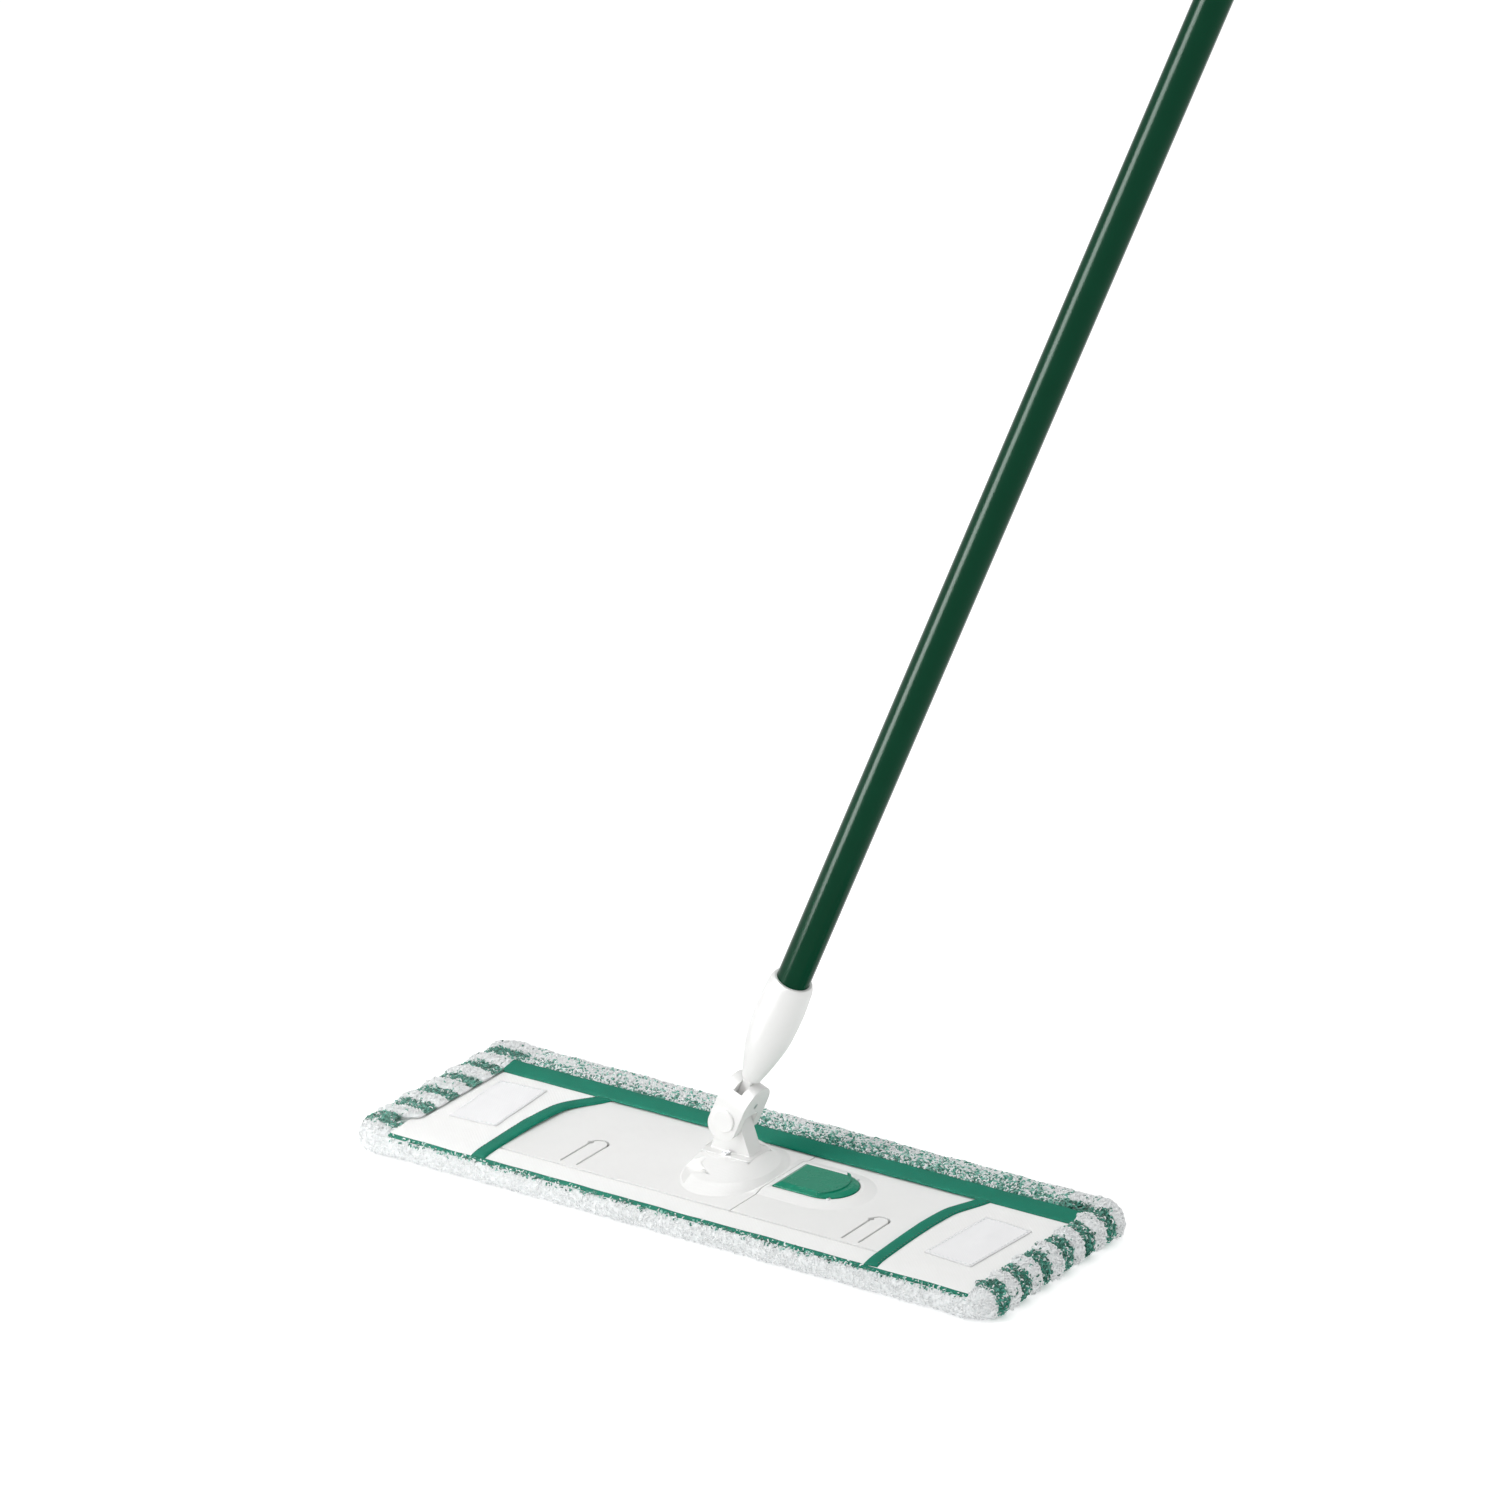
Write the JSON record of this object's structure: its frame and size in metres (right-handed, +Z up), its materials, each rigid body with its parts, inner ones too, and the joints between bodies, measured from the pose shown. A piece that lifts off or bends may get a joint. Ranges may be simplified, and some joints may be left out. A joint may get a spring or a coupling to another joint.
{
  "type": "flat mop",
  "caption": "Flat mop: striped microfibre pad with end pockets, folding plastic frame with release pedal, two-way swivel yoke, and long round handle with a hanging cap.",
  "frame": {"origin": "middle of the pad's underside on the floor, straight under the lower joint pin", "axes": "+X along the pad towards the release pedal, +Y across the pad, +Z up; the handle leans 23 degrees from +Z towards +X"},
  "size_m": [0.7819, 0.175, 1.3095],
  "materials": {
    "white_plastic": "satin moulded polypropylene",
    "green_plastic": "glossy moulded",
    "dark_plastic": "satin moulded",
    "green_paint": "glossy powder coat on thin steel tube",
    "steel": "zinc plated",
    "spring_steel": "drawn spring wire",
    "striped_pile": "looped microfibre in white and green stripes",
    "padding": "felted padding",
    "white_twill": "close woven white cloth",
    "green_tape": "woven binding tape",
    "label_cloth": "plain satin weave"
  },
  "bodies": {
    "head": {"frame_main": "white_plastic", "joint_foot": "white_plastic", "foot_screws": "steel", "fold_pins": "steel", "pad_pile_main": "striped_pile", "pad_backing_main": "padding", "pad_edge_roll_main": "striped_pile", "pocket_main": "white_twill", "pocket_binding_main": "green_tape", "pocket_label_main": "label_cloth", "border_tape_far_main": "green_tape", "border_tape_near_main": "green_tape"},
    "wing": {"frame_wing": "white_plastic", "pad_pile_wing": "striped_pile", "pad_backing_wing": "padding", "pad_edge_roll_wing": "striped_pile", "pocket_wing": "white_twill", "pocket_binding_wing": "green_tape", "pocket_label_wing": "label_cloth", "border_tape_far_wing": "green_tape", "border_tape_near_wing": "green_tape", "pedal_pin": "steel", "pedal_spring": "spring_steel"},
    "pedal": {"release_pedal": "green_plastic"},
    "yoke": {"yoke": "white_plastic", "yoke_pin": "steel", "yoke_pin_caps": "white_plastic", "tilt_pin": "steel"},
    "handle": {"handle_socket": "white_plastic", "handle_tube": "green_paint", "socket_screw": "steel", "hanging_cap": "dark_plastic"}
  },
  "joints": [
    {"name": "wing_fold", "type": "hinge", "parent": "head", "child": "wing", "pos_m": [0.036, 0, 0.0122], "axis": [0, 1, 0], "range_deg": [0, 75]},
    {"name": "pedal_press", "type": "hinge", "parent": "wing", "child": "pedal", "pos_m": [0.082, 0, 0.0194], "axis": [0, -1, 0], "range_deg": [0, 5], "stiffness_Nm_per_rad": 2, "springref_deg": -5.73, "deforming": ["pedal_spring"]},
    {"name": "yoke_swing", "type": "hinge", "parent": "head", "child": "yoke", "pos_m": [0, 0, 0.0536], "axis": [0, 1, 0], "range_deg": [-93, 47]},
    {"name": "handle_tilt", "type": "hinge", "parent": "yoke", "child": "handle", "pos_m": [0.00531, 0, 0.06612], "axis": [0.9205, 0, -0.3907], "range_deg": [-35, 35]}
  ]
}
